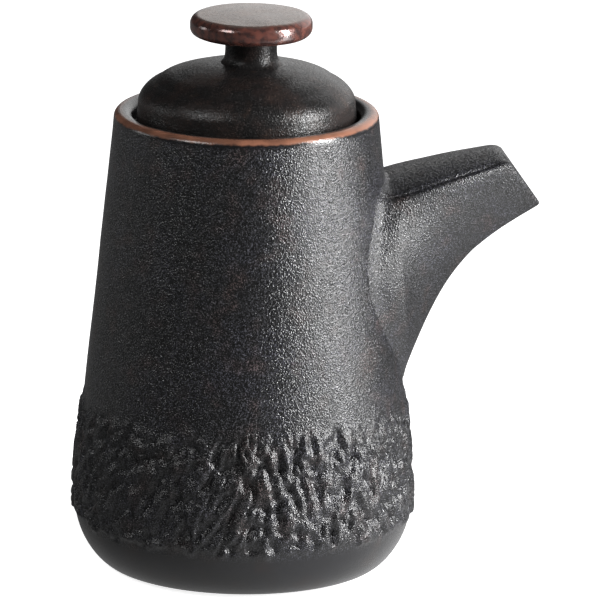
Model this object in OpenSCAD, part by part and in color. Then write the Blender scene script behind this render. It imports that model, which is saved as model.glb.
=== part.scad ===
// Sake bottle: a squat stoneware pouring bottle with a triangular spout,
// a seated domed lid and a disc knob. All dimensions are in millimetres.
// +Z is up, +X is the way the spout points, Z = 0 is the table.
// The bottle and the lid are the two loose pieces. Each is made of
// separately formed clay members that are joined before firing.

/* [View] */
// Smoothness of round surfaces
facets = 96; // [48:8:144]

/* [Bottle body] */
// Radius at the widest point, just above the heel
belly_r = 39.8; // [35:0.1:46]
// Height of the widest point
belly_z = 14.0; // [10:0.5:20]
// Lean of the straight upper wall, degrees from vertical
wall_lean = 5.8; // [3:0.1:9]
// Radius of the curve between the widest point and the straight wall
belly_curve_r = 135.6; // [90:0.1:200]
// Height of the rim's crest
rim_z = 109.0; // [95:0.1:120]
// Rounding of the rim's outer edge
rim_round = 1.3; // [0.8:0.1:2.4]
// Heel fullness: 2 is an ellipse, lower is flatter
heel_power = 1.7; // [1.5:0.05:2.4]
// Radius at which the heel curve would touch the table
heel_r = 30.8; // [26:0.1:34]
// Wall thickness
wall = 4.0; // [3:0.1:5]
// Floor thickness above the foot
floor_t = 5.0; // [4:0.1:7]

/* [Foot ring] */
// Outer radius of the foot ring
foot_r = 28.5; // [24:0.1:31]
// Radial thickness of the foot ring
foot_t = 4.5; // [3:0.1:6]
// Height of the foot ring
foot_h = 1.0; // [0.8:0.1:2]

/* [Mouth and lid seat] */
// Radius of the mouth above the seat
mouth_r = 26.4; // [24:0.1:27.5]
// Depth of the mouth's straight collar below the rim
mouth_depth = 9.0; // [8:0.1:12]
// Depth of the lid's seat below the rim
seat_depth = 3.4; // [2.5:0.1:5]
// Inner radius of the seat
throat_r = 23.5; // [21:0.1:24]
// Thickness of the seat at its inner edge
seat_t = 2.6; // [2:0.1:4]

/* [Lid] */
// Radius of the lid's dome
lid_r = 25.4; // [23.5:0.1:25.6]
// Spread of the lid's skirt between the dome and the seat
skirt_spread = 0.4; // [0:0.1:0.5]
// Height of the skirt above the seat
lid_skirt_h = 5.4; // [4.5:0.1:8]
// Rise of the dome above the skirt
lid_dome_h = 9.8; // [8:0.1:14]
// Thickness of the dome at its top
lid_t = 4.0; // [3:0.1:5]
// How far the lid sits off centre in its seat, along X
lid_shift = 0.05; // [-0.4:0.05:0.4]
// Outer radius of the locating flange
flange_r = 22.5; // [20:0.1:22.8]
// Radial thickness of the locating flange
flange_t = 2.8; // [2:0.1:4]
// Depth of the locating flange below the seat
flange_h = 6.5; // [4:0.1:9]

/* [Knob] */
// How far the knob sits off the lid's centre, along X
knob_shift = 0.9; // [-2:0.05:2]
// Stem radius at its waist
stem_r = 6.15; // [4:0.05:8]
// Flare of the stem where it meets the lid
stem_flare = 1.3; // [0.5:0.1:2]
// Height of the stem above the dome's top
stem_h = 6.2; // [5:0.1:10]
// Radius of the knob's disc
cap_r = 14.3; // [11:0.05:18]
// Thickness of the knob's disc
cap_h = 5.2; // [4:0.1:7]

/* [Spout] */
// Height of the spout's roof where it leaves the wall
roof_root_z = 92.3; // [88:0.1:96]
// Upward bow of the roof between the wall and the mouth
roof_bow = 0.5; // [0:0.05:1.5]
// Reach of the mouth's upper corner from the bottle's axis
roof_tip_x = 60.5; // [52:0.1:68]
// Height of the mouth's upper corner
roof_tip_z = 98.5; // [94:0.1:104]
// Height of the keel where it leaves the wall
keel_root_z = 44.1; // [38:0.1:55]
// Reach of the mouth's lower corner from the bottle's axis
keel_tip_x = 70.1; // [60:0.1:76]
// Height of the mouth's lower corner
keel_tip_z = 84.8; // [80:0.1:92]
// Rise of the keel as it leaves the wall, degrees
keel_rise = 70; // [60:1:80]
// Rise of the keel at the mouth, degrees
keel_end_rise = 28; // [15:1:40]
// Half width of the roof at the wall
root_w = 15.3; // [12:0.1:17]
// Half width of the roof at the mouth
tip_w = 8.7; // [7.5:0.1:12]
// Wall thickness of the spout at the wall
spout_t = 3.0; // [2.2:0.1:4]
// Wall thickness of the spout at the mouth
lip_t = 2.2; // [1.6:0.1:3]
// Blend radius at the sides of the root
root_fillet = 2.0; // [1:0.1:5]
// Blend radius above and below the root
root_fillet_end = 1.6; // [0.5:0.1:3]

/* [Hidden] */
$fn = facets;
glaze = [0.16, 0.16, 0.17];
knob_glaze = [0.30, 0.25, 0.22];
bare_clay = [0.46, 0.34, 0.26];

// Where the belly curve meets the straight wall
taper_z = belly_z + belly_curve_r * sin(wall_lean);
taper_r = belly_r - belly_curve_r * (1 - cos(wall_lean));
function wall_r(z) = taper_r - (z - taper_z) * tan(wall_lean);
rim_outer_z = rim_z - rim_round;
rim_outer_r = wall_r(rim_outer_z);
seat_z = rim_z - seat_depth;
skirt_top_z = seat_z + lid_skirt_h;
lid_top_z = skirt_top_z + lid_dome_h;
knob_x = lid_shift + knob_shift;

// ---- Bottle body ----

heel_steps = 22;
belly_steps = 10;
// Part of the heel curve that is used: it stops at the top of the foot ring
heel_end = asin(pow(1 - foot_h / belly_z, heel_power / 2));
function heel_pt(a) = [heel_r + (belly_r - heel_r) * pow(cos(a), 2 / heel_power),
                       belly_z * (1 - pow(sin(a), 2 / heel_power))];
function belly_pt(a) = [belly_r - belly_curve_r * (1 - cos(a)),
                        belly_z + belly_curve_r * sin(a)];
heel_curve = [for (i = [heel_steps:-1:0]) heel_pt(heel_end * i / heel_steps)];
belly_curve = [for (i = [1:belly_steps]) belly_pt(wall_lean * i / belly_steps)];
outer_side = concat(heel_curve, belly_curve, [[rim_outer_r, rim_outer_z]]);

rim_in_round = 1.4;
rim_curve = concat(
    [for (i = [1:6]) let (a = 15 * i)
        [rim_outer_r - rim_round * (1 - cos(a)), rim_outer_z + rim_round * sin(a)]],
    [for (i = [0:6]) let (a = 90 - 15 * i)
        [mouth_r + rim_in_round * (1 - cos(a)), rim_z - rim_in_round * (1 - sin(a))]]
);

cavity_corner = 9;
cavity_floor_z = foot_h + floor_t;
collar_z = rim_z - mouth_depth;
// The inner wall stands one wall thickness inside the outer wall
function inner_r(z) = wall_r(z) - wall / cos(wall_lean);
belly_in_r = belly_r - wall;
corner_z = cavity_floor_z + cavity_corner;
cavity_side = concat(
    [[0, cavity_floor_z]],
    [for (i = [0:8]) let (a = 90 * i / 8)
        [belly_in_r - cavity_corner * (1 - sin(a)), corner_z - cavity_corner * cos(a)]],
    [for (i = [1:6]) let (a = wall_lean * i / 6)
        [belly_in_r - (belly_curve_r - wall) * (1 - cos(a)),
         corner_z + (taper_z - corner_z) * i / 6]],
    [[inner_r(collar_z - 4), collar_z - 4], [mouth_r, collar_z]]
);

module wall_outline() {
    polygon(concat([[0, foot_h]], outer_side, rim_curve, [[0, seat_z]]));
}

module body_outside() {
    rotate_extrude() wall_outline();
}

module body_cavity() {
    rotate_extrude() polygon(concat(cavity_side, [[mouth_r, rim_z + 5], [0, rim_z + 5]]));
}

module bottle_body() {
    color(glaze) difference() {
        body_outside();
        body_cavity();
        pour_way();
    }
}

module foot_ring() {
    edge = 0.4;
    inner = foot_r - foot_t;
    color(bare_clay) rotate_extrude() polygon([
        [inner, foot_h],
        [inner, edge],
        [inner + edge, 0],
        [foot_r - edge, 0],
        [foot_r, edge],
        [foot_r, foot_h]
    ]);
}

// The ledge inside the mouth that carries the lid
module lid_seat() {
    color(glaze) rotate_extrude() polygon([
        [throat_r, seat_z - 0.6],
        [throat_r, seat_z - seat_t],
        [mouth_r, seat_z - seat_t - 2.0],
        [mouth_r, seat_z],
        [throat_r + 0.6, seat_z]
    ]);
}

// ---- Lid ----

module lid_solid() {
    skirt_r = lid_r + skirt_spread;
    translate([lid_shift, 0, 0]) rotate_extrude() polygon(concat(
        [[0, seat_z], [skirt_r - 0.8, seat_z], [skirt_r, seat_z + 0.8]],
        [for (i = [0:30]) let (a = 3 * i)
            [lid_r * cos(a), skirt_top_z + lid_dome_h * sin(a)]]
    ));
}

module lid_dome() {
    hollow_r = flange_r - flange_t;
    hollow_z = skirt_top_z - 3.5;
    hollow_h = lid_top_z - lid_t - hollow_z;
    color(glaze) difference() {
        lid_solid();
        translate([lid_shift, 0, 0]) rotate_extrude() polygon(concat(
            [[0, seat_z - 1], [hollow_r, seat_z - 1]],
            [for (i = [0:12]) let (a = 7.5 * i)
                [hollow_r * cos(a), hollow_z + hollow_h * sin(a)]]
        ));
    }
}

// The ring under the lid that drops into the throat and keeps it centred
module lid_flange() {
    inner = flange_r - flange_t;
    color(glaze) translate([lid_shift, 0, 0]) rotate_extrude() polygon([
        [inner, seat_z],
        [inner, seat_z - flange_h + 0.8],
        [inner + 0.8, seat_z - flange_h],
        [flange_r - 1.2, seat_z - flange_h],
        [flange_r - 0.3, seat_z - flange_h + 1.0],
        [flange_r, seat_z]
    ]);
}

// ---- Knob ----

module knob_frame() {
    translate([knob_x, 0, lid_top_z]) children();
}

module knob_stem() {
    color(knob_glaze) difference() {
        knob_frame() rotate_extrude() polygon(concat(
            [[0, -2.5], [stem_r + stem_flare, -2.5]],
            [for (i = [0:8]) let (a = 90 * i / 8)
                [stem_r + stem_flare * (1 - sin(a)), 1.6 * (1 - cos(a)) - 0.2]],
            [[stem_r - 0.15, stem_h * 0.6], [stem_r + 0.1, stem_h], [0, stem_h]]
        ));
        lid_solid();
    }
}

module knob_cap() {
    low = 1.5;
    high = 1.5;
    crown = 0.35;
    face_z = stem_h + cap_h - crown;
    color(knob_glaze) knob_frame() rotate_extrude() polygon(concat(
        [[0, stem_h], [cap_r - low, stem_h]],
        [for (i = [1:6]) let (a = 15 * i)
            [cap_r - low * (1 - sin(a)), stem_h + low * (1 - cos(a))]],
        [for (i = [0:6]) let (a = 15 * i)
            [cap_r - high * (1 - cos(a)), face_z - high * (1 - sin(a))]],
        [for (i = [3:-1:0]) let (r = (cap_r - high) * i / 4)
            [r, face_z + crown * (1 - pow(i / 4, 2))]]
    ));
}

// ---- Spout ----
// The spout is a skin through a fan of sections. Each section lies in a plane
// that holds the Y direction, a keel point and a roof point. At the wall the
// plane leans with the wall; at the mouth it leans back by 35 degrees.

function mix(a, b, t) = a + (b - a) * t;
function unit(v) = v / norm(v);

// The fan starts a little in front of the wall, and runs straight back from there
root_gap = 0.3;
roof_root = [wall_r(roof_root_z) + root_gap, roof_root_z];
roof_tip = [roof_tip_x, roof_tip_z];
keel_root = [wall_r(keel_root_z) + root_gap, keel_root_z];
keel_tip = [keel_tip_x, keel_tip_z];

// The keel runs from its root to its tip and bends most where the two end
// directions would cross
keel_dir = [cos(keel_rise), sin(keel_rise)];
keel_end_dir = [cos(keel_end_rise), sin(keel_end_rise)];
keel_gap = keel_tip - keel_root;
keel_turn = keel_dir.x * keel_end_dir.y - keel_dir.y * keel_end_dir.x;
keel_reach = (keel_gap.x * keel_end_dir.y - keel_gap.y * keel_end_dir.x) / keel_turn;
keel_cross = keel_root + keel_dir * keel_reach;
keel_a = mix(keel_root, keel_cross, 0.85);
keel_b = mix(keel_tip, keel_cross, 0.85);

function roof_at(u) = mix(roof_root, roof_tip, u) + [0, roof_bow * 4 * u * (1 - u)];
function keel_at(u) = let (v = 1 - u)
    keel_root * v * v * v + keel_a * 3 * v * v * u + keel_b * 3 * v * u * u + keel_tip * u * u * u;
function keel_way(u) = let (v = 1 - u)
    unit((keel_a - keel_root) * v * v + (keel_b - keel_a) * 2 * v * u + (keel_tip - keel_b) * u * u);
roof_way = unit(roof_tip - roof_root);
function cross2(a, b) = abs(a.x * b.y - a.y * b.x);

// One section outline: roof arc, shoulder, side and keel arcs, all tangent.
// Each entry is [y, height, outward y, outward height].
roof_n = 4;
shoulder_n = 5;
side_n = 7;
keel_n = 3;
function arc_row(cx, cy, r, a0, a1, n) = [for (i = [0:n - 1]) let (a = mix(a0, a1, i / n))
    [cx + r * cos(a), cy + r * sin(a), cos(a), sin(a)]];

function half_outline(w, h, sag, rs, rk, rb) =
    let (
        rr = (w * w + sag * sag) / (2 * sag),
        beta = asin((w - rs) / (rr - rs)),
        sx = w - rs,
        sy = h - rr + (rr - rs) * cos(beta),
        kx = 0,
        ky = rk,
        span = norm([sx - kx, sy - ky]),
        d1 = rb - rs,
        d2 = rb - rk,
        along = (d1 * d1 - d2 * d2 + span * span) / (2 * span),
        away = sqrt(d1 * d1 - along * along),
        ux = (kx - sx) / span,
        uy = (ky - sy) / span,
        qx = sx + ux * along + uy * away,
        qy = sy + uy * along - ux * away,
        a1 = atan2(sy - qy, sx - qx),
        a2 = atan2(ky - qy, kx - qx)
    )
    concat(
        arc_row(0, h - rr, rr, 90, 90 - beta, roof_n),
        arc_row(sx, sy, rs, 90 - beta, a1, shoulder_n),
        arc_row(qx, qy, rb, a1, a2, side_n),
        arc_row(kx, ky, rk, a2, -90, keel_n),
        [[0, 0, 0, -1]]
    );

function outline(w, h, sag, rs, rk, rb) =
    let (right = half_outline(w, h, sag, rs, rk, rb), n = len(right))
    concat(right, [for (i = [n - 2:-1:1]) [-right[i][0], right[i][1], -right[i][2], right[i][3]]]);

// Section sizes from wall (u = 0) to mouth (u = 1)
function width_at(u) = mix(root_w, tip_w, pow(u, 1.3));
function sag_at(u) = mix(2.1, 1.3, u);
function shoulder_at(u) = mix(1.6, 1.4, u);
function keel_r_at(u) = mix(4.6, 3.4, min(1, 2 * u));
function bulge_at(u) = mix(35, 50, u);
function skin_at(u) = mix(spout_t, lip_t, u);

function outer_section(u) =
    let (k = keel_at(u), p = roof_at(u), e = unit(p - k))
    [k, e, outline(width_at(u), norm(p - k), sag_at(u), shoulder_at(u), keel_r_at(u), bulge_at(u))];

function inner_section(u) =
    let (
        k0 = keel_at(u),
        p0 = roof_at(u),
        e = unit(p0 - k0),
        t = skin_at(u),
        k = k0 + e * t / cross2(keel_way(u), e),
        p = p0 - e * t / cross2(roof_way, e)
    )
    [k, e, outline(width_at(u) - t, norm(p - k), sag_at(u), shoulder_at(u) - 0.6,
                   keel_r_at(u) - 1.4, bulge_at(u) - 2)];

// A point of a section, pushed outward by off and back along X by back
function place(sec, q, off, back) =
    let (h = q[1] + off * q[3])
    [sec[0].x + sec[1].x * h - back, q[0] + off * q[2], sec[0].y + sec[1].y * h];

// Distance in front of the bottle's wall
function clear_of_wall(p) = p.x - sqrt(max(0.01, pow(wall_r(p.z), 2) - p.y * p.y));
function blend_r(q) = mix(root_fillet_end, root_fillet, pow(abs(q[2]), 2));
function blend(rho, gap) = let (d = gap + 0.25)
    d <= 0 ? rho : d >= rho ? 0 : rho - sqrt(rho * rho - pow(rho - d, 2));
// The outward push that makes the skin run out tangent to the wall
function root_push(sec, q, back, lo, hi, n) =
    n == 0 ? (lo + hi) / 2 :
    let (mid = (lo + hi) / 2, want = blend(blend_r(q), clear_of_wall(place(sec, q, mid, back))))
    want > mid ? root_push(sec, q, back, mid, hi, n - 1) : root_push(sec, q, back, lo, mid, n - 1);

// How fast the side at a point of the first section widens towards the wall
first_section = outer_section(0);
next_section = outer_section(0.01);
function flare(j) =
    let (
        rows = first_section[2],
        n = len(rows),
        here = place(first_section, rows[j], 0, 0),
        along = place(first_section, rows[(j + 1) % n], 0, 0)
            - place(first_section, rows[(j + n - 1) % n], 0, 0),
        way = place(next_section, next_section[2][j], 0, 0) - here,
        out = sign(here.y)
    )
    abs(along.z) < 0.02 || abs(here.y) < 0.5 ? 0 :
    let (widening = out * (along.y / along.z * way.z - way.y) / way.x)
    out * min(max(widening, 0), 1.1) * pow(rows[j][2], 2) * 0.62;

// The first section carried back into the wall, widening less and less
function root_section(back) =
    let (reach = back - back * back / 18)
    [first_section[0], first_section[1],
     [for (j = [0:len(first_section[2]) - 1]) let (q = first_section[2][j])
         [q[0] + flare(j) * reach, q[1], q[2], q[3]]]];

function outer_ring(u, back) =
    let (sec = back > 0 ? root_section(back) : outer_section(u))
    [for (q = sec[2]) place(sec, q, root_push(sec, q, back, 0, blend_r(q), 14), back)];
function inner_ring(u, back, inset) =
    let (sec = inner_section(u))
    [for (q = sec[2]) place(sec, q, -inset, back)];

ring_n = 2 * (roof_n + shoulder_n + side_n + keel_n);
// Skin through a list of rings, closed by a flat cap at each end
module skin(rings) {
    m = len(rings);
    polyhedron(
        points = [for (r = rings) each r],
        faces = concat(
            [[for (j = [ring_n - 1:-1:0]) j]],
            [[for (j = [0:ring_n - 1]) (m - 1) * ring_n + j]],
            [for (i = [0:m - 2]) for (j = [0:ring_n - 1]) let (j2 = (j + 1) % ring_n)
                [i * ring_n + j, i * ring_n + j2, (i + 1) * ring_n + j]],
            [for (i = [0:m - 2]) for (j = [0:ring_n - 1]) let (j2 = (j + 1) % ring_n)
                [i * ring_n + j2, (i + 1) * ring_n + j2, (i + 1) * ring_n + j]]
        )
    );
}

// The lip is rounded over: lightly at the sides and keel, fully at the roof
lip_round = 1.0;
roof_lip_in = 1.5;
roof_lip_reach = 2.6;
tip_section = outer_section(1);
roof_len = norm(roof_tip - roof_root);
keel_len = 3 * norm(keel_tip - keel_b);
function lip_point(j, a) =
    let (
        q = tip_section[2][j],
        top = pow(max(0, q[3]), 2),
        reach = mix(lip_round, roof_lip_reach, top) * (1 - sin(a)),
        inset = mix(lip_round, roof_lip_in, top) * (1 - cos(a)),
        run = mix(keel_len, roof_len, q[1] / tip_section[2][0][1]),
        sec = outer_section(1 - reach / run)
    )
    place(sec, sec[2][j], -inset, 0);
function lip_ring(a) = [for (j = [0:ring_n - 1]) lip_point(j, a)];

backs = [9, 6, 5, 4.2, 3.5, 2.8, 2.1, 1.4, 0.7];
outs = [0, 0.02, 0.045, 0.075, 0.11, 0.16, 0.23, 0.31, 0.4, 0.5, 0.6, 0.7, 0.8, 0.88];
lips = [0, 25, 50, 70, 90];

module spout_outside() {
    skin(concat(
        [for (b = backs) outer_ring(0, b)],
        [for (u = outs) outer_ring(u, 0)],
        [for (a = lips) lip_ring(a)]
    ));
}

module spout_inside() {
    skin(concat(
        [inner_ring(0, 14, 0)],
        [for (u = [0, 0.08, 0.18, 0.3, 0.42, 0.54, 0.66, 0.78, 0.9, 0.97]) inner_ring(u, 0, 0)],
        [inner_ring(0.99, 0, -0.15), inner_ring(1.0, 0, -0.45), inner_ring(1.03, 0, -0.45)]
    ));
}

// The opening in the bottle's wall has the spout's inner outline
module pour_way() {
    sec = inner_section(0);
    points = [for (q = sec[2]) let (p = place(sec, q, 0, 0)) [p.y, p.z]];
    translate([15, 0, 0]) rotate([90, 0, 90]) linear_extrude(height = 30) polygon(points);
}

module spout() {
    color(glaze) difference() {
        spout_outside();
        spout_inside();
        body_outside();
    }
}

bottle_body();
foot_ring();
lid_seat();
spout();
lid_dome();
lid_flange();
knob_stem();
knob_cap();
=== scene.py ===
"""Looks of the sake bottle: a matt charcoal glaze over thrown clay, with a wrinkled relief band.

Every length is in millimetres until it goes into a mesh, a light or the camera, which are in metres.
"""

import math

import bpy
import numpy as np
from mathutils import Matrix, Vector, noise


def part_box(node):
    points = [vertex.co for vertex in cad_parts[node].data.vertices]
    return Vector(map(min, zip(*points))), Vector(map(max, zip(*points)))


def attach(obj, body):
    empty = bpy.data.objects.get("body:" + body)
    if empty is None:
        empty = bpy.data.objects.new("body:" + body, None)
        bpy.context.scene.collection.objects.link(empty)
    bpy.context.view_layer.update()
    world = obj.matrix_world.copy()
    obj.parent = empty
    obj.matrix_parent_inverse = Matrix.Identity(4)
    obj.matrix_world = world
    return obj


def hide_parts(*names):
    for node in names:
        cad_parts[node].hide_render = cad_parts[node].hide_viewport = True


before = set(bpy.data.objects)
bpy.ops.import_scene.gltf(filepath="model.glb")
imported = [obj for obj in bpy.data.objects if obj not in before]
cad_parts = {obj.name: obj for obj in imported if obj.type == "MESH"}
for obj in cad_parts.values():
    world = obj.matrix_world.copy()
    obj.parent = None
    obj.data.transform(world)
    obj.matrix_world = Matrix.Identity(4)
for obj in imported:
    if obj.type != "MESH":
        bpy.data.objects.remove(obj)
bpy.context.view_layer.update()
MM = 0.001


# ---------------------------------------------------------------- dimensions

def box_mm(node):
    """Lowest and highest corner of a CAD node, in millimetres."""
    low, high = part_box(node)
    return np.array(low) / MM, np.array(high) / MM


body_low, body_high = box_mm("bottle_body")
seat_high = box_mm("lid_seat")[1]
dome_low, dome_high = box_mm("lid_dome")
flange_low, flange_high = box_mm("lid_flange")
cap_low, cap_high = box_mm("knob_cap")

# Bottle, outside: the heel, the widest point, the curve above it and the straight wall
belly_r = body_high[0]
belly_z = 14.0
belly_curve_r = 135.6
lean = math.radians(5.8)
taper_z = belly_z + belly_curve_r * math.sin(lean)
taper_r = belly_r - belly_curve_r * (1 - math.cos(lean))
base_z = body_low[2]
heel_r = 30.8
heel_power = 1.7

# Bottle, rim and inside: the collar is the upright wall of the mouth
rim_z = body_high[2]
rim_round = 1.6
rim_in_round = 2.2
mouth_r = seat_high[0]
collar_z = rim_z - 9.0
collar_slope_h = 4.0
wall = 4.0
floor_z = base_z + 5.0
cavity_corner = 9.0

# Lid
lid_x = (dome_low[0] + dome_high[0]) / 2
lid_base_z = dome_low[2]
lid_top_z = dome_high[2]
lid_skirt_r = (dome_high[0] - dome_low[0]) / 2
lid_r = lid_skirt_r - 0.4
lid_spring_z = lid_base_z + 5.4
lid_dome_h = lid_top_z - lid_spring_z
lid_edge_round = 0.9
lid_t = 4.0
lid_hollow_z = lid_spring_z - 3.5
flange_in_r = (flange_high[0] - flange_low[0]) / 2 - 2.8

# A shallow groove in the lid with a swell inside it: radius, width, height
lid_groove = (21.3, 0.9, -0.16)
lid_swell = (18.6, 1.8, 0.12)

# Knob
knob_x = (cap_low[0] + cap_high[0]) / 2
cap_r = (cap_high[0] - cap_low[0]) / 2
cap_base_z = cap_low[2]
cap_top_z = cap_high[2]
cap_round_low = 1.9
cap_round_high = 2.1
cap_crown = 0.35
stem_r = 6.15
stem_flare = 1.3
stem_sink = 1.2

# Spout: the keel and the roof run from the wall to the mouth
roof_root_z = 92.3
roof_tip = np.array([60.5, 98.5])
roof_bow = 0.5
keel_root_z = 44.1
keel_tip = np.array([70.1, 84.8])
keel_rise = math.radians(70)
keel_end_rise = math.radians(28)
keel_pull = 0.85
root_w = 15.3
tip_w = 8.7
root_gap = 0.3
spout_mid_z = 75

# Blend between the spout and the wall, at the sides and at the roof and keel
root_fillet = 2.0
root_fillet_end = 1.6
into_wall_depth = 2.4

# The sides flare toward the wall: the most, the share of the computed flare, and how soon it dies away
flare_most = 1.1
flare_share = 0.62
flare_fade = 18
root_reach = 9.0

# Section of the spout, at the root and at the tip: rise of the roof, then the radii of its three other arcs
roof_sag = (2.1, 1.3)
shoulder_round = (3.2, 1.7)
keel_round = (4.6, 3.4)
side_round = (35, 50)
spout_t = (3.0, 2.2)

# The crease along the shoulder: its depth, and its centre and width as shares of the shoulder's arc
crease_depth = 0.60
crease_at = 0.22
crease_width = 0.18

# Relief band: a wrinkled skin between the heel and the wall. Its tops are worn off at band_cap
band_low = 12.6
band_high = 39.0
band_middle = 25
band_rise = 1.1
band_cap = 0.95

# Slow unevenness of hand work, as the pitch and the size that wave() takes
wall_waves = ((0.05, 0.14), (0.13, 0.05))
spout_waves = (0.10, 0.22)
lid_waves = (0.09, 0.16)
cap_waves = (0.12, 0.10)

# The body's rows are close together up to a height above the relief band, and wider apart from there
fine_to_z = 44.0
fine_step = 0.42
plain_step = 1.3

# Columns round each turned mesh
BODY_COLUMNS = 448
LID_COLUMNS = 224
CAP_COLUMNS = 192
NECK_COLUMNS = 128


def wall_r(z):
    """Outer radius of the straight upper wall."""
    return taper_r - (z - taper_z) * math.tan(lean)


def mix(a, b, t):
    return a + (b - a) * t


def wave(p, pitch, size):
    """A slow bump at a point: noise of a pitch per millimetre and a size."""
    return noise.noise(p * pitch) * size


def bell(offset, width):
    """1 at no offset, falling away over a width."""
    return math.exp(-(offset / width) ** 2)


def smooth(low, high, value):
    """0 below low, 1 above high, eased between."""
    t = min(max((value - low) / (high - low), 0.0), 1.0)
    return t * t * (3 - 2 * t)


# ---------------------------------------------------------------- mesh tools

def new_piece(name, verts, faces, body, material):
    """A smooth-shaded mesh from millimetre points that rides on a CAD body."""
    mesh = bpy.data.meshes.new(name)
    mesh.from_pydata([tuple(float(c) * MM for c in v) for v in verts], [], faces)
    mesh.update()
    mesh.shade_smooth()
    piece = bpy.data.objects.new(name, mesh)
    bpy.context.scene.collection.objects.link(piece)
    mesh.materials.append(material)
    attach(piece, body)
    return piece


def revolve(profile, columns, centre_x=0.0, shift=None):
    """Turns an outline of (radius, z) points about a vertical axis. It starts and ends on the axis.
    shift(index, point) moves a point of row index."""
    inner = profile[1:-1]
    angles = [2 * math.pi * i / columns for i in range(columns)]
    verts = []
    for row, (r, z) in enumerate(inner):
        for a in angles:
            p = Vector((r * math.cos(a), r * math.sin(a), z))
            if shift:
                p = shift(row, p)
            verts.append((p.x + centre_x, p.y, p.z))
    first = len(verts)
    verts += [(centre_x, 0, profile[0][1]), (centre_x, 0, profile[-1][1])]
    faces = []
    for row in range(len(inner) - 1):
        a0 = row * columns
        b0 = a0 + columns
        for i in range(columns):
            j = (i + 1) % columns
            faces.append((a0 + i, a0 + j, b0 + j, b0 + i))
    last = (len(inner) - 1) * columns
    for i in range(columns):
        j = (i + 1) % columns
        faces.append((first, j, i))
        faces.append((first + 1, last + i, last + j))
    return verts, faces


def closed_revolve(profile, columns, centre_x, shift=None):
    """Turns a closed outline that touches the axis only at single points. shift(point) moves a point."""
    verts, faces, rows = [], [], []
    for r, z in profile:
        if r < 1e-6:
            rows.append([len(verts)])
            verts.append((centre_x, 0.0, z))
            continue
        rows.append(list(range(len(verts), len(verts) + columns)))
        for i in range(columns):
            a = 2 * math.pi * i / columns
            p = Vector((r * math.cos(a), r * math.sin(a), z))
            if shift:
                p = shift(p)
            verts.append((p.x + centre_x, p.y, p.z))
    for a, b in zip(rows, rows[1:] + rows[:1]):
        if len(a) == 1 and len(b) == 1:
            continue
        for i in range(columns):
            j = (i + 1) % columns
            if len(a) == 1:
                faces.append((a[0], b[j], b[i]))
            elif len(b) == 1:
                faces.append((a[i], a[j], b[0]))
            else:
                faces.append((a[i], a[j], b[j], b[i]))
    return verts, faces


def arc(cx, cz, rx, rz, start, end, count):
    """Points on an elliptic arc. Angles in degrees, 0 is outward and 90 is up."""
    out = []
    for i in range(count):
        a = math.radians(mix(start, end, i / (count - 1)))
        out.append((cx + rx * math.cos(a), cz + rz * math.sin(a)))
    return out


def evened(points, step):
    """The same outline with points about one step apart."""
    out = [points[0]]
    for a, b in zip(points, points[1:]):
        n = max(1, int(round(math.dist(a, b) / step)))
        out += [(mix(a[0], b[0], i / n), mix(a[1], b[1], i / n)) for i in range(1, n + 1)]
    return out


def outline_normals(profile):
    """Unit normals of an outline. They point out of the solid where it runs upward on the outer side."""
    p = np.array(profile)
    way = np.gradient(p, axis=0)
    n = np.stack([way[:, 1], -way[:, 0]], axis=1)
    return n / np.maximum(np.linalg.norm(n, axis=1, keepdims=True), 1e-9)


# ---------------------------------------------------------------- materials

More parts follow.
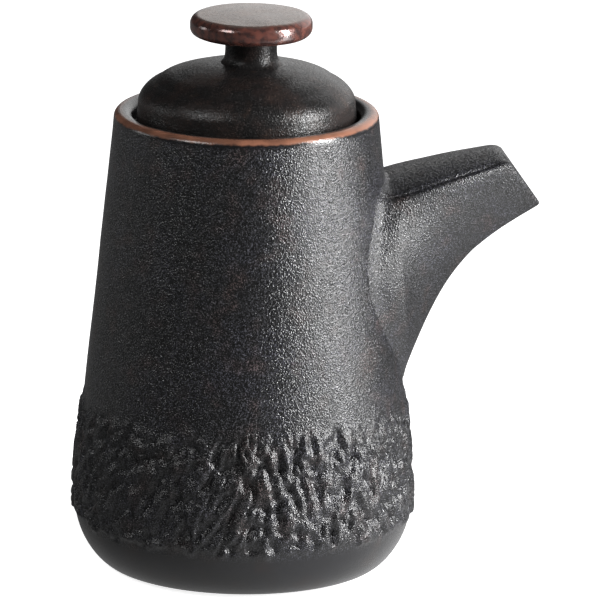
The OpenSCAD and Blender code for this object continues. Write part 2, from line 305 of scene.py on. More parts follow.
class Nodes:
    """A short way to write shader nodes."""

    def __init__(self, name):
        self.material = bpy.data.materials.new(name)
        self.material.use_nodes = True
        self.tree = self.material.node_tree
        self.tree.nodes.clear()
        self.out = self.tree.nodes.new("ShaderNodeOutputMaterial")
        self.shader = self.tree.nodes.new("ShaderNodeBsdfPrincipled")
        self.tree.links.new(self.shader.outputs[0], self.out.inputs["Surface"])
        self.place = self.tree.nodes.new("ShaderNodeTexCoord").outputs["Object"]

    def link(self, source, socket):
        if isinstance(source, (int, float)):
            socket.default_value = source
        elif isinstance(source, tuple):
            socket.default_value = (*source, 1.0)
        else:
            self.tree.links.new(source, socket)

    def noise(self, size_mm, detail=2.0, rough=0.5):
        """Noise whose features are about size_mm across."""
        n = self.tree.nodes.new("ShaderNodeTexNoise")
        n.inputs["Scale"].default_value = 1 / (size_mm * MM)
        n.inputs["Detail"].default_value = detail
        n.inputs["Roughness"].default_value = rough
        n.inputs["Distortion"].default_value = 0.0
        self.tree.links.new(self.place, n.inputs["Vector"])
        return n.outputs["Fac"]

    def pebbles(self, size_mm):
        """Rounded grains about size_mm across: 1 on their tops and 0 in the gaps."""
        n = self.tree.nodes.new("ShaderNodeTexVoronoi")
        n.inputs["Scale"].default_value = 1 / (size_mm * MM)
        self.tree.links.new(self.place, n.inputs["Vector"])
        return self.span(n.outputs["Distance"], 0.1, 0.75, 1.0, 0.0)

    def math(self, kind, a, b=0.0, c=0.0):
        n = self.tree.nodes.new("ShaderNodeMath")
        n.operation = kind
        self.link(a, n.inputs[0])
        self.link(b, n.inputs[1])
        self.link(c, n.inputs[2])
        return n.outputs[0]

    def span(self, value, low, high, to_low=0.0, to_high=1.0, ease="SMOOTHSTEP"):
        """Maps low..high to to_low..to_high, held at both ends."""
        n = self.tree.nodes.new("ShaderNodeMapRange")
        n.interpolation_type = ease
        self.link(value, n.inputs[0])
        for socket, number in zip(list(n.inputs)[1:5], (low, high, to_low, to_high)):
            socket.default_value = number
        return n.outputs[0]

    def rise(self, value):
        """The same value in all three channels."""
        n = self.tree.nodes.new("ShaderNodeCombineXYZ")
        for socket in n.inputs:
            self.link(value, socket)
        return n.outputs[0]

    def tint(self, a, b):
        """Two colours multiplied."""
        n = self.tree.nodes.new("ShaderNodeVectorMath")
        n.operation = "MULTIPLY"
        self.link(a, n.inputs[0])
        self.link(b, n.inputs[1])
        return n.outputs[0]

    def distance(self, a, b):
        """Length of a flat vector."""
        return self.math("SQRT", self.math("ADD", self.math("MULTIPLY", a, a), self.math("MULTIPLY", b, b)))

    def blend(self, factor, a, b):
        n = self.tree.nodes.new("ShaderNodeMix")
        n.data_type = "RGBA"
        self.link(factor, n.inputs[0])
        self.link(a, n.inputs[6])
        self.link(b, n.inputs[7])
        return n.outputs[2]

    def bump(self, height, depth_mm, normal=None):
        n = self.tree.nodes.new("ShaderNodeBump")
        n.inputs["Distance"].default_value = depth_mm * MM
        n.inputs["Strength"].default_value = 1.0
        self.link(height, n.inputs["Height"])
        if normal is not None:
            self.tree.links.new(normal, n.inputs["Normal"])
        return n.outputs[0]

    def axes(self):
        """The point's own x, y and z, in metres."""
        n = self.tree.nodes.new("ShaderNodeSeparateXYZ")
        self.tree.links.new(self.place, n.inputs[0])
        return n.outputs[0], n.outputs[1], n.outputs[2]


# Colours of the glazes and the clay
CHARCOAL = (0.0055, 0.0055, 0.0062)
CHARCOAL_COOL = (0.0075, 0.0075, 0.0092)
CHARCOAL_WARM = (0.012, 0.0075, 0.0066)
RUST = (0.24, 0.105, 0.064)
LID_BLACK = (0.008, 0.0075, 0.0075)
LID_BROWN = (0.014, 0.010, 0.009)
LID_PATCH = (0.028, 0.018, 0.014)
KNOB_GREY = (0.17, 0.135, 0.118)
KNOB_BROWN = (0.20, 0.145, 0.120)
KNOB_EDGE_DARK = (0.050, 0.025, 0.023)
KNOB_EDGE_RED = (0.17, 0.060, 0.045)
CLAY = (0.33, 0.23, 0.16)
CLAY_DARK = (0.26, 0.175, 0.12)

# Grain of the glazes: size of the pebbles, and depth of the bump they make
PEBBLE = 0.46
PEBBLE_DEPTH = 0.072
LID_PEBBLE = 0.5
LID_PEBBLE_DEPTH = 0.045


def body_glaze(name, dull, glossy):
    """Matt charcoal glaze with a fine pebbled skin, worn to rust along the rim.
    Its roughness runs from dull in the pits to glossy on the grains."""
    m = Nodes(name)
    x, y, z = m.axes()
    pebble = m.pebbles(PEBBLE)
    grit = m.noise(0.26, 1.0, 0.5)
    cloud = m.noise(14.0, 3.0, 0.55)
    patch = m.noise(6.0, 2.0, 0.5)

    colour = m.blend(m.span(cloud, 0.38, 0.66), CHARCOAL, CHARCOAL_COOL)
    colour = m.blend(m.span(patch, 0.5, 0.75, 0.0, 0.55), colour, CHARCOAL_WARM)

    # The glaze thins to rust on the outer edge of the rim
    wander = m.math("MULTIPLY", m.math("SUBTRACT", m.noise(2.2, 3.0, 0.6), 0.5), 1.1 * MM)
    height = m.math("ADD", z, wander)
    outer = m.span(m.distance(x, y), (mouth_r + 2.0) * MM, (mouth_r + 3.1) * MM)
    edge = m.span(height, (rim_z - 1.3) * MM, (rim_z - 0.7) * MM)
    rust = m.math("MULTIPLY", m.math("MULTIPLY", outer, edge), m.span(patch, 0.35, 0.6, 0.6, 1.0))
    colour = m.blend(rust, colour, RUST)

    # The rim and the heel are smoother than the wall, which is grained with dark pits and pale specks
    rim = m.span(z, (rim_z - 2.6) * MM, (rim_z - 1.0) * MM)
    heel = m.span(z, (band_low - 3.0) * MM, (band_low + 1.5) * MM, 1.0, 0.0)
    calm = m.math("MAXIMUM", rim, m.math("MULTIPLY", heel, 0.9))
    pits = m.math("ADD", m.math("MULTIPLY", pebble, 0.6), m.math("MULTIPLY", grit, 0.8))
    dots = m.span(m.noise(0.30, 0.0), 0.58, 0.66, 0.0, 8.0)
    grain = m.math("ADD", m.span(pits, 0.50, 1.0, 0.25, 1.5), dots)
    speck = m.blend(calm, m.rise(grain), (1.0, 1.0, 1.0))
    m.link(m.tint(colour, speck), m.shader.inputs["Base Color"])
    rough = m.span(pits, 0.52, 0.80, dull, glossy)
    rough = m.math("ADD", rough, m.span(patch, 0.3, 0.7, -0.03, 0.03))
    rough = m.blend(calm, m.rise(rough), (0.24, 0.24, 0.24))
    m.link(rough, m.shader.inputs["Roughness"])
    m.shader.inputs["IOR"].default_value = 1.55

    skin = m.math("ADD", pebble, m.math("MULTIPLY", grit, 1.2))
    skin = m.math("MULTIPLY", skin, m.span(calm, 0.0, 1.0, 1.0, 0.22, "LINEAR"))
    m.link(m.bump(skin, PEBBLE_DEPTH), m.shader.inputs["Normal"])
    return m.material


def lid_glaze(name, ior):
    """The same glaze, smoother and a little browner, as it lies on the lid and round the knob's neck."""
    m = Nodes(name)
    pebble = m.pebbles(LID_PEBBLE)
    cloud = m.noise(9.0, 3.0, 0.55)
    patch = m.noise(3.5, 2.0, 0.5)
    grit = m.noise(0.30, 1.0, 0.5)
    colour = m.blend(m.span(cloud, 0.42, 0.62), LID_BLACK, LID_BROWN)
    colour = m.blend(m.span(patch, 0.55, 0.8, 0.0, 0.6), colour, LID_PATCH)
    dots = m.math("ADD", m.span(grit, 0.58, 0.70, 0.0, 4.0), 0.8)
    m.link(m.tint(colour, m.rise(dots)), m.shader.inputs["Base Color"])
    rough = m.math("ADD", m.span(cloud, 0.35, 0.7, 0.02, 0.10), m.span(grit, 0.35, 0.65, 0.34, 0.18))
    m.link(rough, m.shader.inputs["Roughness"])
    m.shader.inputs["IOR"].default_value = ior
    fine = m.bump(m.math("ADD", pebble, grit), LID_PEBBLE_DEPTH)
    m.link(m.bump(patch, 0.08, fine), m.shader.inputs["Normal"])
    return m.material


def knob_glaze():
    """Thin lustrous glaze that breaks from grey-brown on the face to rust at the edge."""
    m = Nodes("knob_glaze")
    x, y, _ = m.axes()
    radius = m.distance(m.math("SUBTRACT", x, knob_x * MM), y)
    cloud = m.noise(5.0, 3.0, 0.6)
    fine = m.noise(0.9, 3.0, 0.6)
    wander = m.math("MULTIPLY", m.math("SUBTRACT", cloud, 0.5), 1.6 * MM)
    edge = m.span(m.math("ADD", radius, wander), (cap_r - 2.2) * MM, (cap_r - 0.6) * MM)
    colour = m.blend(m.span(cloud, 0.4, 0.65), KNOB_GREY, KNOB_BROWN)
    streak = m.noise(1.6, 2.0, 0.5)
    rust = m.blend(m.span(streak, 0.30, 0.70), KNOB_EDGE_DARK, KNOB_EDGE_RED)
    colour = m.blend(edge, colour, rust)
    m.link(colour, m.shader.inputs["Base Color"])
    rough = m.math("SUBTRACT", m.span(fine, 0.3, 0.75, 0.20, 0.30), m.math("MULTIPLY", edge, 0.05))
    m.link(rough, m.shader.inputs["Roughness"])
    m.shader.inputs["IOR"].default_value = 1.9
    m.shader.inputs["Metallic"].default_value = 0.35
    m.link(m.bump(fine, 0.05), m.shader.inputs["Normal"])
    return m.material


def bare_clay():
    """Unglazed, sandy clay under the foot."""
    m = Nodes("bare_clay")
    sand = m.noise(0.5, 3.0, 0.65)
    cloud = m.noise(6.0, 2.0, 0.5)
    m.link(m.blend(m.span(cloud, 0.3, 0.7), CLAY, CLAY_DARK), m.shader.inputs["Base Color"])
    m.link(m.span(sand, 0.3, 0.7, 0.75, 0.95), m.shader.inputs["Roughness"])
    m.link(m.bump(sand, 0.2), m.shader.inputs["Normal"])
    return m.material


GLAZE = body_glaze("body_glaze", 0.35, 0.10)
SPOUT_GLAZE = body_glaze("spout_glaze", 0.50, 0.13)
LID_GLAZE = lid_glaze("lid_glaze", 1.40)
NECK_GLAZE = lid_glaze("neck_glaze", 1.28)
KNOB_GLAZE = knob_glaze()
BARE_CLAY = bare_clay()


# ---------------------------------------------------------------- bottle body

def relief(x, y, z):
    """Height of the wrinkled band at a point of the wall, in millimetres."""
    along = Vector((x, y, z))
    ragged = wave(along, 0.16, 2.2) + wave(along, 0.45, 1.1)
    foot = smooth(band_low - 0.9, band_low + 1.1, z + ragged * 0.8)
    head = 1 - smooth(band_high - 2.5, band_high + 3.5, z + ragged * 1.4)
    mask = foot * head
    if mask <= 0:
        return 0.0
    # Wrinkles stand nearly upright. They lean to the right in front and to the left beside the spout
    turn = math.atan2(y, x)
    slant = 0.10 - 0.26 * math.cos(turn + 0.45) + noise.noise(Vector((x, y, 0)) * 0.05) * 0.4
    twist = slant * (z - band_middle) / max(math.hypot(x, y), 1)
    c, s = math.cos(twist), math.sin(twist)
    q = Vector((x * c + y * s, y * c - x * s, z * 0.42))
    # The offsets keep the layers of noise apart
    bend = Vector([noise.noise(q * 0.22 + Vector(o)) for o in ((5, 1, 3), (2, 8, 4), (9, 6, 7))])
    q = q + bend * 1.3
    lump = noise.noise(q * 0.54)
    crease = abs(noise.noise(q * 0.68 + Vector((7, 3, 1))))
    small = noise.noise(q * 1.15 + Vector((2, 9, 5)))
    height = 0.05 + 1.40 * lump + 1.10 * min(crease * 1.6, 0.55) + 0.46 * small
    worn = band_cap - math.log1p(math.exp((band_cap - height) * 5)) / 5
    return mask * band_rise * worn


def body_profile():
    """Outline of the body from the underside's centre, up the outside, over the rim and down the inside.
    It comes with the number of points before the outer wall and the number on it."""
    heel_end = math.asin((1 - base_z / belly_z) ** (heel_power / 2))
    heel = []
    for i in range(40, -1, -1):
        a = heel_end * i / 40
        heel.append((
            heel_r + (belly_r - heel_r) * math.cos(a) ** (2 / heel_power),
            belly_z * (1 - math.sin(a) ** (2 / heel_power)),
        ))
    belly = []
    for i in range(1, 33):
        a = lean * i / 32
        belly.append((belly_r - belly_curve_r * (1 - math.cos(a)), belly_z + belly_curve_r * math.sin(a)))
    rim_outer_z = rim_z - rim_round
    rim_outer_r = wall_r(rim_outer_z)
    above_band = (wall_r(fine_to_z), fine_to_z)
    outer = evened(heel + belly + [above_band], fine_step)
    outer += evened([above_band, (rim_outer_r, rim_outer_z)], plain_step)[1:]
    outer += arc(rim_outer_r - rim_round, rim_outer_z, rim_round, rim_round, 6, 90, 12)
    inner = arc(mouth_r + rim_in_round, rim_z - rim_in_round, rim_in_round, rim_in_round, 96, 180, 10)
    inner += [(mouth_r, collar_z)]
    low_r = belly_r - wall
    corner_z = floor_z + cavity_corner
    neck_z = collar_z - collar_slope_h
    side = [(wall_r(neck_z) - wall / math.cos(lean), neck_z), (taper_r - wall, taper_z)]
    side += [(low_r - (belly_curve_r - wall) * (1 - math.cos(lean * t)), mix(corner_z, taper_z, t))
             for t in (0.75, 0.5, 0.25)]
    side += arc(low_r - cavity_corner, corner_z, cavity_corner, cavity_corner, 0, -90, 9)
    under = evened([(0.0, base_z), heel[0]], 6.0)
    profile = under + outer[1:] + inner + evened(inner[-1:] + side, 5.0)[1:] + [(0.0, floor_z)]
    return profile, len(under), len(outer)


def make_body():
    profile, start, count = body_profile()
    normals = outline_normals(profile)

    def shape(row, p):
        """The relief, and the slow unevenness of a hand-turned wall, which stops round the spout's root."""
        k = row + 1
        if k < start or k > start + count:
            return p
        root = smooth(29, 20, abs(p.y)) * smooth(32, 40, p.z) if p.x > 0 else 0.0
        drift = sum(wave(p, *w) for w in wall_waves) * (1 - root)
        fade = smooth(base_z, base_z + 4, p.z) * (1 - smooth(rim_z - 5, rim_z - 2, p.z))
        push = (relief(p.x, p.y, p.z) + drift) * fade
        flat = Vector((p.x, p.y, 0)).normalized()
        n = normals[k]
        return p + flat * float(n[0] * push) + Vector((0, 0, float(n[1] * push)))

    verts, faces = revolve(profile, BODY_COLUMNS, 0.0, shape)
    piece = new_piece("body_shell", verts, faces, "bottle", GLAZE)
    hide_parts("bottle_body")
    return piece


# ---------------------------------------------------------------- spout

# Points on the roof, shoulder, side and keel arcs of each half section
RING = (14, 12, 18, 8)


def unit(v):
    return v / np.linalg.norm(v)


def cross2(a, b):
    return abs(a[0] * b[1] - a[1] * b[0])


# The keel is a cubic curve whose handles reach most of the way to where its end directions cross
roof_root = np.array([wall_r(roof_root_z) + root_gap, roof_root_z])
keel_root = np.array([wall_r(keel_root_z) + root_gap, keel_root_z])
keel_way_in = np.array([math.cos(keel_rise), math.sin(keel_rise)])
keel_way_out = np.array([math.cos(keel_end_rise), math.sin(keel_end_rise)])
keel_gap = keel_tip - keel_root
keel_turn = keel_way_in[0] * keel_way_out[1] - keel_way_in[1] * keel_way_out[0]
keel_reach = (keel_gap[0] * keel_way_out[1] - keel_gap[1] * keel_way_out[0]) / keel_turn
keel_cross = keel_root + keel_way_in * keel_reach
keel_a = mix(keel_root, keel_cross, keel_pull)
keel_b = mix(keel_tip, keel_cross, keel_pull)
roof_way = unit(roof_tip - roof_root)


def roof_at(u):
    return mix(roof_root, roof_tip, u) + np.array([0, roof_bow * 4 * u * (1 - u)])


def keel_at(u):
    v = 1 - u
    return keel_root * v**3 + keel_a * 3 * v * v * u + keel_b * 3 * v * u * u + keel_tip * u**3


def keel_way(u):
    """Direction of the keel, from the wall to the mouth."""
    v = 1 - u
    return unit((keel_a - keel_root) * v * v + (keel_b - keel_a) * 2 * v * u + (keel_tip - keel_b) * u * u)


def section_outline(w, h, sag, shoulder, keel, side, crease):
    """Outline of one section as rows of (y, height, outward y, outward height), roof first.
    Each half is four tangent arcs. The roof is given by its rise, sag, and the other three by radius."""
    roof = (w * w + sag * sag) / (2 * sag)
    beta = math.asin((w - shoulder) / (roof - shoulder))
    s = np.array([w - shoulder, h - roof + (roof - shoulder) * math.cos(beta)])
    k = np.array([0.0, keel])
    span = np.linalg.norm(k - s)
    d1, d2 = side - shoulder, side - keel
    along = (d1 * d1 - d2 * d2 + span * span) / (2 * span)
    away = math.sqrt(d1 * d1 - along * along)
    way = (k - s) / span
    q = s + way * along + np.array([way[1], -way[0]]) * away
    a1 = math.degrees(math.atan2(*(s - q)[::-1]))
    a2 = math.degrees(math.atan2(*(k - q)[::-1]))
    turn = 90 - math.degrees(beta)
    rows = []
    arcs = (
        (np.array([0, h - roof]), roof, 90, turn),
        (s, shoulder, turn, a1),
        (q, side, a1, a2),
        (k, keel, a2, -90),
    )
    for (centre, radius, start, end), count in zip(arcs, RING):
        for i in range(count):
            a = math.radians(mix(start, end, i / count))
            c, s_a = math.cos(a), math.sin(a)
            r = radius
            if centre is s:
                r -= crease * bell(i / count - crease_at, crease_width)
            rows.append((centre[0] + r * c, centre[1] + r * s_a, c, s_a))
    rows.append((0.0, 0.0, 0.0, -1.0))
    return rows + [(-y, up, -out_y, out_up) for y, up, out_y, out_up in rows[-2:0:-1]]


def section(u, inside=False):
    """A section of the spout: its keel point, the way up to the roof and its outline."""
    k, p = keel_at(u), roof_at(u)
    e = unit(p - k)
    thick = mix(*spout_t, u) if inside else 0.0
    tighter = 0.6 if inside else 0.0
    if inside:
        k = k + e * thick / cross2(keel_way(u), e)
        p = p - e * thick / cross2(roof_way, e)
    rows = section_outline(
        mix(root_w, tip_w, u ** 1.3) - thick,
        float(np.linalg.norm(p - k)),
        mix(*roof_sag, u),
        mix(*shoulder_round, u) - tighter,
        mix(*keel_round, min(1, 2 * u)) - tighter,
        mix(*side_round, u) - (2 if inside else 0),
        0.0 if inside else crease_depth * smooth(1.0, 0.75, u),
    )
    return k, e, rows


def place(sec, q, off):
    """A row of a section's outline as a point, moved outward by off."""
    k, e, _ = sec
    h = q[1] + off * q[3]
    return Vector((k[0] + e[0] * h, q[0] + off * q[2], k[1] + e[1] * h))


def clear_of_wall(p):
    """Distance of a point outside the wall, measured along the spout."""
    return p.x - math.sqrt(max(0.01, wall_r(p.z) ** 2 - p.y * p.y))


def blend_push(rho, gap):
    """Height of a rounded blend of radius rho at a gap from the wall."""
    gap += 0.04
    if gap <= 0:
        return rho
    return 0.0 if gap >= rho else rho - math.sqrt(rho * rho - (rho - gap) ** 2)


def root_push(sec, q):
    """How far the skin is pushed out so that it runs into the wall with a rounded blend."""
    rho = mix(root_fillet_end, root_fillet, q[2] ** 2)
    low, high = 0.0, rho
    for _ in range(16):
        mid = (low + high) / 2
        if blend_push(rho, clear_of_wall(place(sec, q, mid))) > mid:
            low = mid
        else:
            high = mid
    return (low + high) / 2


def into_wall(p):
    """The point moved along the spout to the middle of the wall, if it lies deeper than that."""
    deep = math.sqrt(max(1.0, (wall_r(p.z) - into_wall_depth) ** 2 - p.y * p.y))
    return Vector((max(p.x, deep), p.y, p.z))


def flare(j):
    """How fast the side at a point of the first section widens towards the wall, at one height."""
    first, second = section(0.0), section(0.01)
    rows = first[2]
    before, here, after = (place(first, rows[i % len(rows)], 0) for i in (j - 1, j, j + 1))
    way = place(second, second[2][j], 0) - here
    along = after - before
    if abs(along.z) < 0.02 or abs(here.y) < 0.5:
        return 0.0
    out = math.copysign(1.0, here.y)
    widening = out * (along.y / along.z * way.z - way.y) / way.x
    return out * min(max(widening, 0.0), flare_most) * rows[j][2] ** 2 * flare_share


FLARES = [flare(j) for j in range(len(section(0.0)[2]))]


def section_in_wall(back):
    """The first section carried on into the wall, with its sides widening less and less."""
    k, e, rows = section(0.0)
    reach = back - back * back / flare_fade
    rows = [(q[0] + FLARES[j] * reach, q[1], q[2], q[3]) for j, q in enumerate(rows)]
    return k - np.array([back, 0.0]), e, rows


def outer_ring(u, back=0.0):
    sec = section_in_wall(back) if back else section(u)
    return [into_wall(place(sec, q, root_push(sec, q))) for q in sec[2]]


def lip_ring(angle):
    """The lip rolls over lightly at the sides and keel, and fully at the roof."""
    tip = section(1.0)
    a = math.radians(angle)
    roof_len = float(np.linalg.norm(roof_tip - roof_root))
    keel_len = 3 * float(np.linalg.norm(keel_tip - keel_b))
    out = []
    for j, q in enumerate(tip[2]):
        top = max(0.0, q[3]) ** 2
        reach = mix(1.0, 2.6, top) * (1 - math.sin(a))
        inset = mix(1.0, 1.5, top) * (1 - math.cos(a))
        run = mix(keel_len, roof_len, q[1] / tip[2][0][1])
        sec = section(1 - reach / run)
        out.append(place(sec, sec[2][j], -inset))
    return out


def inner_ring(u, inset=0.0):
    sec = section(u, inside=True)
    return [place(sec, q, -inset) for q in sec[2]]


def make_spout():
    outer = [outer_ring(0.0, back) for back in np.arange(root_reach, 0.1, -0.2)]
    outer += [outer_ring(u) for u in np.linspace(0, 0.2, 26)]
    outer += [outer_ring(u) for u in np.linspace(0.22, 0.9, 44)]
    inner = [lip_ring(a) for a in np.linspace(0, 90, 14)]
    for u, inset in ((1.0, -0.35), (0.995, -0.15), (0.985, -0.05), (0.97, 0.0)):
        inner.append(inner_ring(u, inset))
    inner += [inner_ring(u) for u in np.linspace(0.92, 0.0, 24)]
    inner += [[into_wall(p - Vector((30, 0, 0))) for p in inner[-1]]]
    rings = outer + inner
    # The outside, and the outer half of the lip, are slightly uneven
    uneven_count = len(outer) + 8
    n = len(rings[0])
    verts = []
    for i, ring in enumerate(rings):
        for p in ring:
            if i < uneven_count:
                away = smooth(0.5, 5.0, clear_of_wall(p))
                outward = Vector((0, p.y, p.z - spout_mid_z)).normalized()
                p = p + outward * (wave(p, *spout_waves) * away)
            verts.append(tuple(p))
    faces = []
    m = len(rings)
    for i in range(m):
        a0, b0 = i * n, ((i + 1) % m) * n
        for j in range(n):
            k = (j + 1) % n
            faces.append((a0 + j, b0 + j, b0 + k, a0 + k))
    piece = new_piece("spout_shell", verts, faces, "bottle", SPOUT_GLAZE)
    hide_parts("spout")
    return piece


def cut_pour_way(body):
    """Opens the wall behind the spout with the spout's own inner outline."""
    sec = section(0.0, inside=True)
    outline = [place(sec, q, 0.0) for q in sec[2]]
    verts = [(15.0, p.y, p.z) for p in outline] + [(45.0, p.y, p.z) for p in outline]
    n = len(outline)
    faces = [tuple(range(n)), tuple(range(2 * n - 1, n - 1, -1))]
    faces += [(i, n + i, n + (i + 1) % n, (i + 1) % n) for i in range(n)]
    mesh = bpy.data.meshes.new("pour_cutter")
    mesh.from_pydata([tuple(c * MM for c in v) for v in verts], [], faces)
    cutter = bpy.data.objects.new("pour_cutter", mesh)
    bpy.context.scene.collection.objects.link(cutter)
    bpy.context.view_layer.objects.active = body
    mod = body.modifiers.new("pour_way", "BOOLEAN")
    mod.operation = "DIFFERENCE"
    mod.solver = "EXACT"
    mod.object = cutter
    with bpy.context.temp_override(object=body, active_object=body):
        bpy.ops.object.modifier_apply(modifier=mod.name)
    bpy.data.objects.remove(cutter, do_unlink=True)
    body.data.shade_smooth()


# ---------------------------------------------------------------- lid and knob

def make_lid():
    """The lid's dome, with its skirt below and its hollow inside."""
    edge = lid_edge_round
    under = [(flange_in_r, lid_base_z), (lid_skirt_r - edge, lid_base_z)]
    corner = arc(lid_skirt_r - edge, lid_base_z + edge, edge, edge, -80, 0, 6)
    dome = []
    for i in range(61):
        a = math.radians(90 * i / 60)
        r = lid_r * math.cos(a)
        z = lid_spring_z + lid_dome_h * math.sin(a)
        for centre, width, height in (lid_groove, lid_swell):
            z += bell(r - centre, width) * height
        dome.append((r, z))
    hollow_h = lid_top_z - lid_t - lid_hollow_z
    hollow = [(flange_in_r * math.cos(a), lid_hollow_z + hollow_h * math.sin(a))
              for a in np.radians(np.linspace(90, 0, 14))]

    def uneven(p):
        return p + Vector((0, 0, wave(p, *lid_waves)))

    # The closed outline runs from the underside's inner edge over the top and back down the hollow
    profile = evened(under + corner + dome, 0.8) + hollow[1:]
    verts, faces = closed_revolve(profile, LID_COLUMNS, lid_x, uneven)
    piece = new_piece("lid_shell", verts, faces, "lid", LID_GLAZE)
    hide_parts("lid_dome")


def make_neck():
    """The knob's waisted stem, which flares at its foot and a little under the cap."""
    base = lid_top_z - stem_sink
    neck = [(0.0, base), (stem_r + stem_flare + 0.9, base)]
    rise = cap_base_z - lid_top_z
    for i in range(25):
        t = i / 24
        foot = stem_flare * math.exp(-t * rise / 0.75)
        head = 0.5 * math.exp(-(1 - t) * rise / 0.55)
        neck.append((stem_r - 0.12 + foot + head, lid_top_z - 0.5 + t * (rise + 0.5)))
    neck += [(0.0, cap_base_z + 0.05)]
    verts, faces = revolve(evened(neck, 0.5), NECK_COLUMNS, knob_x)
    stem = new_piece("knob_neck", verts, faces, "lid", NECK_GLAZE)
    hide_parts("knob_stem")


def make_cap():
    """The knob's disc, slightly crowned, with rounded edges."""
    low, high = cap_round_low, cap_round_high
    face_z = cap_top_z - cap_crown
    face_r = cap_r - high
    disc = [(0.0, cap_base_z), (cap_r - low, cap_base_z)]
    disc += arc(cap_r - low, cap_base_z + low, low, low, -80, -4, 10)
    disc += arc(face_r, face_z - high, high, high, 4, 84, 12)
    disc += [(r, face_z + cap_crown * (1 - (r / face_r) ** 2)) for r in np.linspace(face_r, 0.0, 14)]

    def uneven(_, p):
        return p + Vector((0, 0, wave(p, *cap_waves)))

    verts, faces = revolve(evened(disc, 0.5), CAP_COLUMNS, knob_x, uneven)
    cap = new_piece("knob_disc", verts, faces, "lid", KNOB_GLAZE)
    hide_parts("knob_cap")


def dress(node, material):
    """Gives a CAD node that stays its finished material."""
    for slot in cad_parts[node].material_slots:
        slot.material = material


cut_pour_way(make_body())
make_spout()
make_lid()
make_neck()
make_cap()
dress("lid_seat", GLAZE)
dress("lid_flange", LID_GLAZE)
dress("foot_ring", BARE_CLAY)


# ---------------------------------------------------------------- studio

# The camera stands in front, a little above, and the spout points slightly away from it
VIEW_YAW = math.radians(-8.0)
VIEW_RISE = math.radians(15.07)
VIEW_LEAN = math.radians(0.65)
VIEW_DISTANCE = 1.647
VIEW_WIDTH = 0.1412
VIEW_AIM = Vector((0, 0, 0.0588))
VIEW_RIGHT = 0.01304
VIEW_UP = 0.00409

# Lights: azimuth to the right of the camera, elevation, distance, width, height and power
KEY_AZIMUTH = 70
LIGHTS = {
    "key_softbox": (KEY_AZIMUTH, 17, 0.80, 0.15, 0.66, 17),
    "fill_front": (-50, 38, 0.80, 0.25, 0.25, 2.0),
    "fill_left": (-100, 14, 0.80, 0.14, 0.24, 0.4),
}
LIGHT_AIM = Vector((0, 0, 0.06))

# The floor: half its width, its glow as the camera sees it, and the painted glow that the bottle sees near
# it, further off, and in the painted pool that carries the key light on below the horizon
FLOOR_HALF = 6.0
FLOOR_GLOW = 0.85
FLOOR_NEAR = 1.2
FLOOR_FAR = 0.15
FLOOR_POOL = 8.0
FLOOR_NEAR_SPAN = (0.03, 0.17)
FLOOR_POOL_START = (0.12, 0.30)
FLOOR_POOL_HALF_WIDTH = (0.01, 0.08)

# The backdrop that the bottle sees: its turn to the right of straight behind and its rise, in degrees, the
# cosines where it starts and is full, its brightness, and that of the dark room round it
BACKDROP_TURN = 30
BACKDROP_RISE = 6
BACKDROP_EDGE = 0.74
BACKDROP_FULL = 0.90
BACKDROP_LIGHT = 1.2
ROOM_DARK = 0.04


def for_the_camera(tree, felt, seen, out, kind):
    """Shows the camera one shader and everything else another."""
    path = tree.nodes.new("ShaderNodeLightPath")
    both = tree.nodes.new("ShaderNodeMixShader")
    tree.links.new(path.outputs["Is Camera Ray"], both.inputs[0])
    tree.links.new(felt.outputs[0], both.inputs[1])
    tree.links.new(seen.outputs[0], both.inputs[2])
    tree.links.new(both.outputs[0], out.inputs[kind])


def stage_plane():
    """A pale floor. The bottle sees a painted glow on it instead: bright near its foot, dark further off,
    and a painted pool of key light.
    """
    mesh = bpy.data.meshes.new("studio_floor")
    s = FLOOR_HALF
    mesh.from_pydata([(-s, -s, 0), (s, -s, 0), (s, s, 0), (-s, s, 0)], [], [(0, 1, 2, 3)])
    floor = bpy.data.objects.new("studio_floor", mesh)
    bpy.context.scene.collection.objects.link(floor)
    m = Nodes("studio_floor")
    m.shader.inputs["Base Color"].default_value = (0.88, 0.88, 0.88, 1)
    m.shader.inputs["Roughness"].default_value = 0.9
    m.shader.inputs["Emission Color"].default_value = (1, 1, 1, 1)
    m.shader.inputs["Emission Strength"].default_value = FLOOR_GLOW
    x, y, _ = m.axes()

    def across(azimuth, shift=0.0):
        """Distance of the floor's points along an azimuth, counted to the right of the camera."""
        a = math.radians(azimuth) + VIEW_YAW
        along = m.math("MULTIPLY_ADD", x, math.sin(a), m.math("MULTIPLY", y, -math.cos(a)))
        return m.math("SUBTRACT", along, shift)

    # Painted light: the glow that the bottle sees near its foot and further off, and the painted pool of
    # key light
    near = m.span(m.distance(across(90, 0.10), across(0, 0.05)), *FLOOR_NEAR_SPAN, FLOOR_NEAR, FLOOR_FAR)
    off_line = m.math("ABSOLUTE", across(KEY_AZIMUTH + 90))
    pool = m.math(
        "MULTIPLY",
        m.span(across(KEY_AZIMUTH), *FLOOR_POOL_START),
        m.span(off_line, *FLOOR_POOL_HALF_WIDTH, 1.0, 0.0),
    )
    painted_glow_sheet = m.tree.nodes.new("ShaderNodeEmission")
    m.link(m.math("MULTIPLY_ADD", pool, FLOOR_POOL, near), painted_glow_sheet.inputs["Strength"])
    for_the_camera(m.tree, painted_glow_sheet, m.shader, m.out, "Surface")
    mesh.materials.append(m.material)


def softbox(name, azimuth, elevation, distance, width, height, power):
    """A rectangular light seen at an azimuth to the right of the camera, aimed at the bottle's middle."""
    a = math.radians(azimuth) + VIEW_YAW
    e = math.radians(elevation)
    way = Vector((math.sin(a) * math.cos(e), -math.cos(a) * math.cos(e), math.sin(e)))
    light = bpy.data.lights.new(name, "AREA")
    light.shape = "RECTANGLE"
    light.size = width
    light.size_y = height
    light.energy = power
    lamp = bpy.data.objects.new(name, light)
    bpy.context.scene.collection.objects.link(lamp)
    lamp.location = LIGHT_AIM + way * distance
    lamp.rotation_euler = (-way).to_track_quat("-Z", "Y").to_euler()


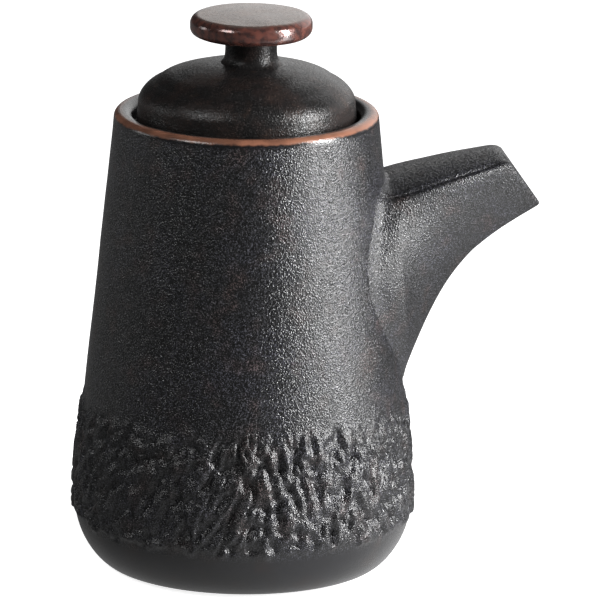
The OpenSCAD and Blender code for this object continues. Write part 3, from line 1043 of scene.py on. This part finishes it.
def make_camera():
    """A long lens at the photo's viewing angle, with no depth of field."""
    way = Vector((
        -math.sin(VIEW_YAW) * math.cos(VIEW_RISE),
        math.cos(VIEW_YAW) * math.cos(VIEW_RISE),
        -math.sin(VIEW_RISE),
    ))
    level = Vector((math.cos(VIEW_YAW), math.sin(VIEW_YAW), 0))
    upright = level.cross(way)
    right = level * math.cos(VIEW_LEAN) + upright * math.sin(VIEW_LEAN)
    up = upright * math.cos(VIEW_LEAN) - level * math.sin(VIEW_LEAN)
    data = bpy.data.cameras.new("camera")
    data.sensor_width = 36
    data.lens = 36 * VIEW_DISTANCE / VIEW_WIDTH
    data.clip_end = 100
    camera = bpy.data.objects.new("camera", data)
    bpy.context.scene.collection.objects.link(camera)
    spot = VIEW_AIM - way * VIEW_DISTANCE + right * VIEW_RIGHT + up * VIEW_UP
    camera.matrix_world = Matrix((
        (right.x, up.x, -way.x, spot.x),
        (right.y, up.y, -way.y, spot.y),
        (right.z, up.z, -way.z, spot.z),
        (0, 0, 0, 1),
    ))
    bpy.context.scene.camera = camera


def make_world():
    """A white room for the camera. The bottle sees it dark, but for a white backdrop behind."""
    world = bpy.data.worlds.new("studio")
    bpy.context.scene.world = world
    world.use_nodes = True
    tree = world.node_tree
    tree.nodes.clear()
    out = tree.nodes.new("ShaderNodeOutputWorld")
    seen = tree.nodes.new("ShaderNodeBackground")
    seen.inputs[0].default_value = (1, 1, 1, 1)
    seen.inputs[1].default_value = 1.0
    felt = tree.nodes.new("ShaderNodeBackground")
    felt.inputs[1].default_value = 1.0
    place_in_sky = tree.nodes.new("ShaderNodeTexCoord")
    facing = tree.nodes.new("ShaderNodeVectorMath")
    facing.operation = "DOT_PRODUCT"
    tree.links.new(place_in_sky.outputs["Generated"], facing.inputs[0])
    a = VIEW_YAW - math.radians(BACKDROP_TURN)
    e = math.radians(BACKDROP_RISE)
    facing.inputs[1].default_value = (-math.sin(a) * math.cos(e), math.cos(a) * math.cos(e), math.sin(e))
    ramp = tree.nodes.new("ShaderNodeMapRange")
    ramp.interpolation_type = "SMOOTHSTEP"
    limits = (BACKDROP_EDGE, BACKDROP_FULL, ROOM_DARK, BACKDROP_LIGHT)
    for socket, number in zip(list(ramp.inputs)[1:5], limits):
        socket.default_value = number
    tree.links.new(facing.outputs["Value"], ramp.inputs[0])
    tree.links.new(ramp.outputs[0], felt.inputs[0])
    for_the_camera(tree, felt, seen, out, 0)


stage_plane()
make_world()
make_camera()
for light_name, numbers in LIGHTS.items():
    softbox(light_name, *numbers)
bpy.context.scene.view_settings.view_transform = "Standard"
